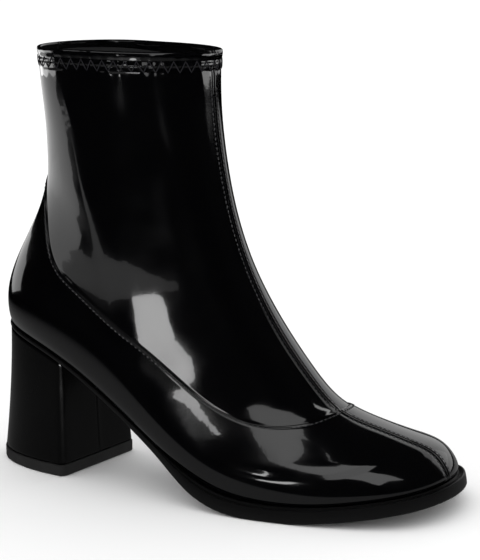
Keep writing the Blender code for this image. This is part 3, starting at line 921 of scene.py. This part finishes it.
# Name and shader values; scale, low and high of an uneven roughness; scale and depth of the fine
# bump; and whether the bump is in the coat too
MATERIALS = (
    ("patent", {"Base_Color": (0.0010, 0.0010, 0.0013, 1), "Roughness": 0.10, "Coat_Weight": 1.0,
                "Coat_Roughness": 0.015, "Coat_IOR": 1.5},
     (60.0, 0.07, 0.14), (240.0, 0.000012), True),
    ("thread", {"Base_Color": (0.022, 0.022, 0.024, 1), "Roughness": 0.2,
                "Specular_IOR_Level": 1.0, "Coat_Weight": 1.0},
     None, (2400.0, 0.00006), False),
    ("hem_thread", {"Base_Color": (0.016, 0.015, 0.020, 1), "Roughness": 0.55},
     None, (2400.0, 0.00006), False),
    ("lining", {"Base_Color": (0.018, 0.018, 0.019, 1), "Roughness": 0.6},
     None, (1500.0, 0.00008), False),
    ("sock", {"Base_Color": (0.016, 0.016, 0.017, 1), "Roughness": 0.7},
     None, (900.0, 0.0001), False),
    ("sole_rubber", {"Base_Color": (0.0045, 0.0045, 0.0047, 1), "Roughness": 0.34,
                     "Specular_IOR_Level": 0.35},
     (90.0, 0.28, 0.42), (1100.0, 0.00004), False),
    ("heel_wrap_film", {"Base_Color": (0.0008, 0.0008, 0.0009, 1), "Roughness": 0.28,
                        "Coat_Weight": 0.1, "Specular_IOR_Level": 0.15, "Coat_Roughness": 0.12},
     (50.0, 0.18, 0.28), (500.0, 0.00002), True),
    ("lift_matt", {"Base_Color": (0.016, 0.016, 0.016, 1), "Roughness": 0.5},
     (120.0, 0.42, 0.6), (1300.0, 0.00005), False),
)


def make_materials():
    """The boot's materials by name."""
    looks = {}
    for name, values, uneven, bump, coat in MATERIALS:
        looks[name], shader = principled(name, **values)
        if uneven:
            noise_roughness(looks[name], shader, *uneven)
        noise_bump(looks[name], shader, *bump, coat)
    return looks


# Scene: camera, floor, light


def camera_axes():
    """The camera's back, right and up."""
    a, e, r = CAMERA_AZIMUTH, CAMERA_ELEVATION, CAMERA_ROLL
    back = np.array([math.sin(a) * math.cos(e), -math.cos(a) * math.cos(e), math.sin(e)])
    right = np.cross((0, 0, 1), back)
    right = right / np.linalg.norm(right)
    up = np.cross(back, right)
    return back, math.cos(r) * right + math.sin(r) * up, math.cos(r) * up - math.sin(r) * right


def make_camera():
    """A camera at the photograph's own place, lens and shift."""
    back, right, up = camera_axes()
    data = bpy.data.cameras.new("photo_camera")
    data.sensor_fit = "VERTICAL"
    data.sensor_height = SENSOR_MM
    data.sensor_width = SENSOR_MM
    data.lens = SENSOR_MM * CAMERA_LENS_PX / FRAME_PX[1]
    data.shift_x = -CAMERA_SHIFT_PX[0] / FRAME_PX[1]
    data.shift_y = CAMERA_SHIFT_PX[1] / FRAME_PX[1]
    item = bpy.data.objects.new("photo_camera", data)
    place = np.array(CAMERA_TARGET) + back * CAMERA_DISTANCE - ORIGIN
    item.matrix_world = Matrix((
        (right[0], up[0], back[0], place[0]), (right[1], up[1], back[1], place[1]),
        (right[2], up[2], back[2], place[2]), (0, 0, 0, 1)))
    bpy.context.scene.collection.objects.link(item)
    bpy.context.scene.camera = item


def dark_in_gloss(owner, seen, reflected, out):
    """Shows one shader, and another in glossy reflections."""
    path = add_node(owner, "ShaderNodeLightPath")
    mix = add_node(owner, "ShaderNodeMixShader")
    wire(owner, path.outputs["Is Glossy Ray"], mix.inputs["Fac"])
    wire(owner, seen, mix.inputs[1])
    wire(owner, reflected, mix.inputs[2])
    wire(owner, mix.outputs["Shader"], out.inputs["Surface"])


def make_floor():
    """A plain pale floor; in reflections it is grey near the boot and black further out."""
    corners = ((-1, -1), (1, -1), (1, 1), (-1, 1))
    points = [(x * FLOOR_REACH, y * FLOOR_REACH, -FLOOR_DROP) for x, y in corners]
    material = bare_material("studio_floor")
    out = add_node(material, "ShaderNodeOutputMaterial")
    white = add_node(material, "ShaderNodeBsdfDiffuse", Color=(*[FLOOR_WHITE] * 3, 1))
    grey = add_node(material, "ShaderNodeEmission")
    place = add_node(material, "ShaderNodeTexCoord")
    length = add_node(material, "ShaderNodeVectorMath", operation="LENGTH")
    fall = add_node(material, "ShaderNodeMapRange", interpolation_type="SMOOTHSTEP",
                    From_Min=FLOOR_GLOSS_FROM, From_Max=FLOOR_GLOSS_TO, To_Min=FLOOR_IN_GLOSS,
                    To_Max=0.0)
    wire(material, place.outputs["Object"], length.inputs[0])
    wire(material, length.outputs["Value"], fall.inputs["Value"])
    wire(material, fall.outputs["Result"], grey.inputs["Strength"])
    dark_in_gloss(material, white.outputs["BSDF"], grey.outputs["Emission"], out)
    floor = new_mesh("studio_floor", points, [(0, 1, 2, 3)], material, False)


def make_world():
    """Even white light all round, almost black in reflections."""
    world = bpy.data.worlds.new("studio")
    bpy.context.scene.world = world
    world.use_nodes = True
    world.node_tree.nodes.clear()
    out = add_node(world, "ShaderNodeOutputWorld")
    light = add_node(world, "ShaderNodeBackground", Color=(1, 1, 1, 1), Strength=WORLD_LIGHT)
    dark = add_node(world, "ShaderNodeBackground", Color=(1, 1, 1, 1), Strength=WORLD_IN_GLOSS)
    dark_in_gloss(world, light.outputs["Background"], dark.outputs["Background"], out)


def direction(azimuth, elevation):
    """Unit vector; azimuth 0 points to -Y and 90 to +X."""
    a, e = math.radians(azimuth), math.radians(elevation)
    return np.array([math.sin(a) * math.cos(e), -math.cos(a) * math.cos(e), math.sin(e)])


# Light cards that show in the gloss: name, strength, the pieces they light, the middle of what
# they light, aim as azimuth and elevation, distance, and corners in their own plane in centimetres
LIGHT_CARDS = (
    ("window", 4.6, ("shaft_part", "seam_stitches"), (0.10, -0.03, 0.08), (5, 0), 0.15, (
        (-4.5, 0.9), (-1.6, 1.7), (1.1, 2.5), (1.9, 2.5), (2.1, 2.0), (1.95, 1.0), (2.1, 0.2),
        (2.4, -0.3), (3.2, -0.6), (3.2, -1.6), (-3.2, -1.6), (-3.5, -1.0), (-4.1, -0.4))),
    ("tail", 4.4, ("foot_part", "seam_stitches"), (0.116, -0.03, 0.049), (10, 30), 0.25, (
        (-6.6, -11.8), (-3.9, -11.2), (-1.9, -10.4), (-0.9, -9.3), (0.1, -7.4), (0.2, -6.9),
        (-1.15, -6.8), (-2.0, -7.8), (-3.0, -8.7), (-4.3, -9.5), (-5.8, -10.2))),
    ("tail_tip", 4.4, ("foot_part",), (0.116, -0.03, 0.049), (10, 30), 0.12, (
        (-0.6, -2.5), (-0.15, -2.3), (0.1, -1.75), (0.17, -1.3), (0.27, -0.9), (0.33, -0.3),
        (0.3, 0.35), (0.12, 1.3), (0.3, 1.3), (0.5, 0.45), (0.52, -0.2), (0.62, -0.9),
        (0.5, -1.7), (0.45, -2.5), (0.3, -3.6), (-0.85, -3.6))),
    ("band", 0.34, ("shaft_part",), (0.08, -0.032, 0.104), (-10, 0), 0.155, (
        (-17, 1.8), (-15, 0.1), (-7.6, -0.5), (-0.2, 0.4), (5.1, 1.2), (8.6, 1.6), (10.4, 1.5),
        (10.3, 1.2), (9, 0.8), (6.2, -0.2), (2.2, -1.4), (0.4, -1.8), (-4.2, -2.3), (-6.6, -1.9),
        (-9.3, -1.2), (-14, 0.0))),
    ("forefoot", 1.0, ("foot_part", "seam_stitches"), (0.18, -0.02, 0.03), (15, 50), 0.38, (
        (-15.5, 16), (-13.4, 9), (-11, 3), (-9.5, 0), (-7, -6.5), (-5, -10), (0, -14), (7, -20),
        (12, -22), (25, -19), (40, -15), (42, -4), (30, -4), (18, -3), (8, -2), (0, 2), (-3, 6.5),
        (-2, 11), (-3, 16), (-7, 16.5), (-9, 18.5), (-10.5, 21), (-13, 20.5), (-15, 18))),
    ("instep", 0.9, ("shaft_part", "foot_part", "seam_stitches"),
     (0.156, -0.016, 0.044), (15, 30), 0.25, (
        (-2.0, -1.6), (-0.3, -1.5), (0.9, -0.6), (1.5, 1), (2.6, 4.2), (4.2, 8), (5, 14), (6, 22),
        (0, 22), (-2, 12), (-3.4, 5), (-2.9, 2.3), (-2.3, 0))),
    ("counter", 0.75, ("foot_part", "shaft_part"), (0.017, -0.023, 0.103), (-105, 0), 0.15, (
        (-4.2, -0.8), (-7.8, -0.5), (-8.6, 0.8), (-0.8, 2.3), (5.2, 1.9), (7, -1.3), (0.9, -3))),
    ("left", 0.7, ("shaft_part",), (0.02, 0.0, 0.15), (-80, 0), 0.4, (
        (-60, 2), (33, 2), (31, -3), (27, -5), (23.5, -7.4), (18, -8.0), (15.5, -8.5), (19, -9.2),
        (24, -9.5), (30, -9.8), (30, -10.5), (-60, -14))),
    ("rim", 1.0, ("shaft_part",), (0.06, -0.04, 0.21), (10, 30), 0.08, (
        (-7, -1), (8, -1), (8, 2.5), (-7, 2.5))),
    ("collar_left", 2.2, ("shaft_part",), (0.03, -0.02, 0.2), (-80, -12), 0.15, (
        (-12, 0.3), (-4, -0.2), (4, -1.0), (9, -1.5), (9, 2), (-12, 2))),
    ("collar_seam", 3.5, ("shaft_part",), (0.075, -0.04, 0.2), (-1, -14), 0.15, (
        (-0.75, -0.65), (0.2, -0.65), (0.2, 1.0), (-0.75, 1.0))),
    ("collar_right", 1.8, ("shaft_part",), (0.118, 0.0, 0.203), (115, -5), 0.15, (
        (-1.8, -0.5), (12, -0.5), (12, 2.2), (-1.8, 2.2))),
    ("backdrop", 0.45, (), (0.15, 0.0, 0.1), (170, 12), 3.0, (
        (-180, -70), (190, -70), (190, 130), (-60, 170), (-150, 90))),
    ("heel_corner", 26.0, ("heel",), (0.03, -0.03, 0.04), (60, 0), 0.5, (
        (-18, -16), (18, -16), (18, 20), (-18, 20))),
    ("toe", 0.6, ("foot_part",), (0.22, -0.01, 0.03), (162, 18), 0.4, (
        (-11, -8), (11, -8), (11, 9), (-11, 9))),
)


def make_cards():
    """Bright polygons seen only in the gloss of their own pieces."""
    for name, strength, lit, middle, aim, distance, corners in LIGHT_CARDS:
        facing = direction(*aim)
        turn = math.radians(aim[0])
        across = np.array([math.cos(turn), math.sin(turn), 0.0])
        upward = np.cross(facing, across)
        centre = np.array(middle) - ORIGIN + facing * distance
        points = [centre + (across * u + upward * v) * CENTIMETRE for u, v in corners]
        material = bare_material("light_" + name)
        out = add_node(material, "ShaderNodeOutputMaterial")
        glow = add_node(material, "ShaderNodeEmission", Strength=strength)
        wire(material, glow.outputs["Emission"], out.inputs["Surface"])
        mesh = bpy.data.meshes.new("light_" + name)
        mesh.from_pydata([tuple(p) for p in points], [], [tuple(range(len(points)))])
        mesh.materials.append(material)
        card = bpy.data.objects.new("light_" + name, mesh)
        bpy.context.scene.collection.objects.link(card)
        card.visible_camera = False
        card.visible_diffuse = False
        card.visible_shadow = False
        card.visible_transmission = False
        if lit:
            receivers = bpy.data.collections.new("lit_by_" + name)
            for piece in lit:
                receivers.objects.link(bpy.data.objects[piece])
            card.light_linking.receiver_collection = receivers


def main():
    """Builds the boot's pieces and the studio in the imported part's frame."""
    global ORIGIN
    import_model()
    lift_plan = heel_base_plan(heel_shares(ORIGIN_STEPS), LIFT_PROUD)
    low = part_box("heel_lift")[0]
    ORIGIN = np.array([lift_plan[:, 0].min() - low[0], lift_plan[:, 1].min() - low[1], 0.0])
    bpy.context.scene.view_settings.view_transform = "Standard"
    make_camera()
    looks = make_materials()
    add_piece(make_shell("foot_part", foot_rings(), looks["patent"]), "patent_upper", "upper")
    add_piece(make_shell("shaft_part", shaft_rings(), looks["patent"]), "patent_upper", "upper")
    add_piece(make_shell("lining", lining_rings(), looks["lining"]), "insole_sock")
    template = stitch_template(*SEAM_STITCH)
    add_piece(lay_stitches("seam_stitches", *all_stitch_rows(), template, looks["thread"]),
              "patent_upper")
    centres, tangents, normals, long = zigzag_rows()
    template = stitch_template(long * ZIGZAG_OVERLAP, ZIGZAG_WIDE, ZIGZAG_HIGH)
    add_piece(lay_stitches("hem_zigzag", centres, tangents, normals, template,
                           looks["hem_thread"]), "patent_upper")
    add_piece(ring_solid("insole_sock_pad", insole_rings(), looks["sock"]), "insole_sock", "insole")
    solids = (
        ("sole", sole_rings(), "sole_rubber", "outsole_rubber", "outsole"),
        ("heel", heel_rings(), "heel_wrap_film", "heel_wrap", "heel_block"),
        ("top_piece", lift_rings(), "lift_matt", "lift_rubber", "heel_lift"),
    )
    for name, rings, look, slot, node in solids:
        piece = ring_solid(name, rings, looks[look])
        sharpen(piece)
        add_piece(piece, slot, node)
    make_floor()
    make_world()
    make_cards()


main()
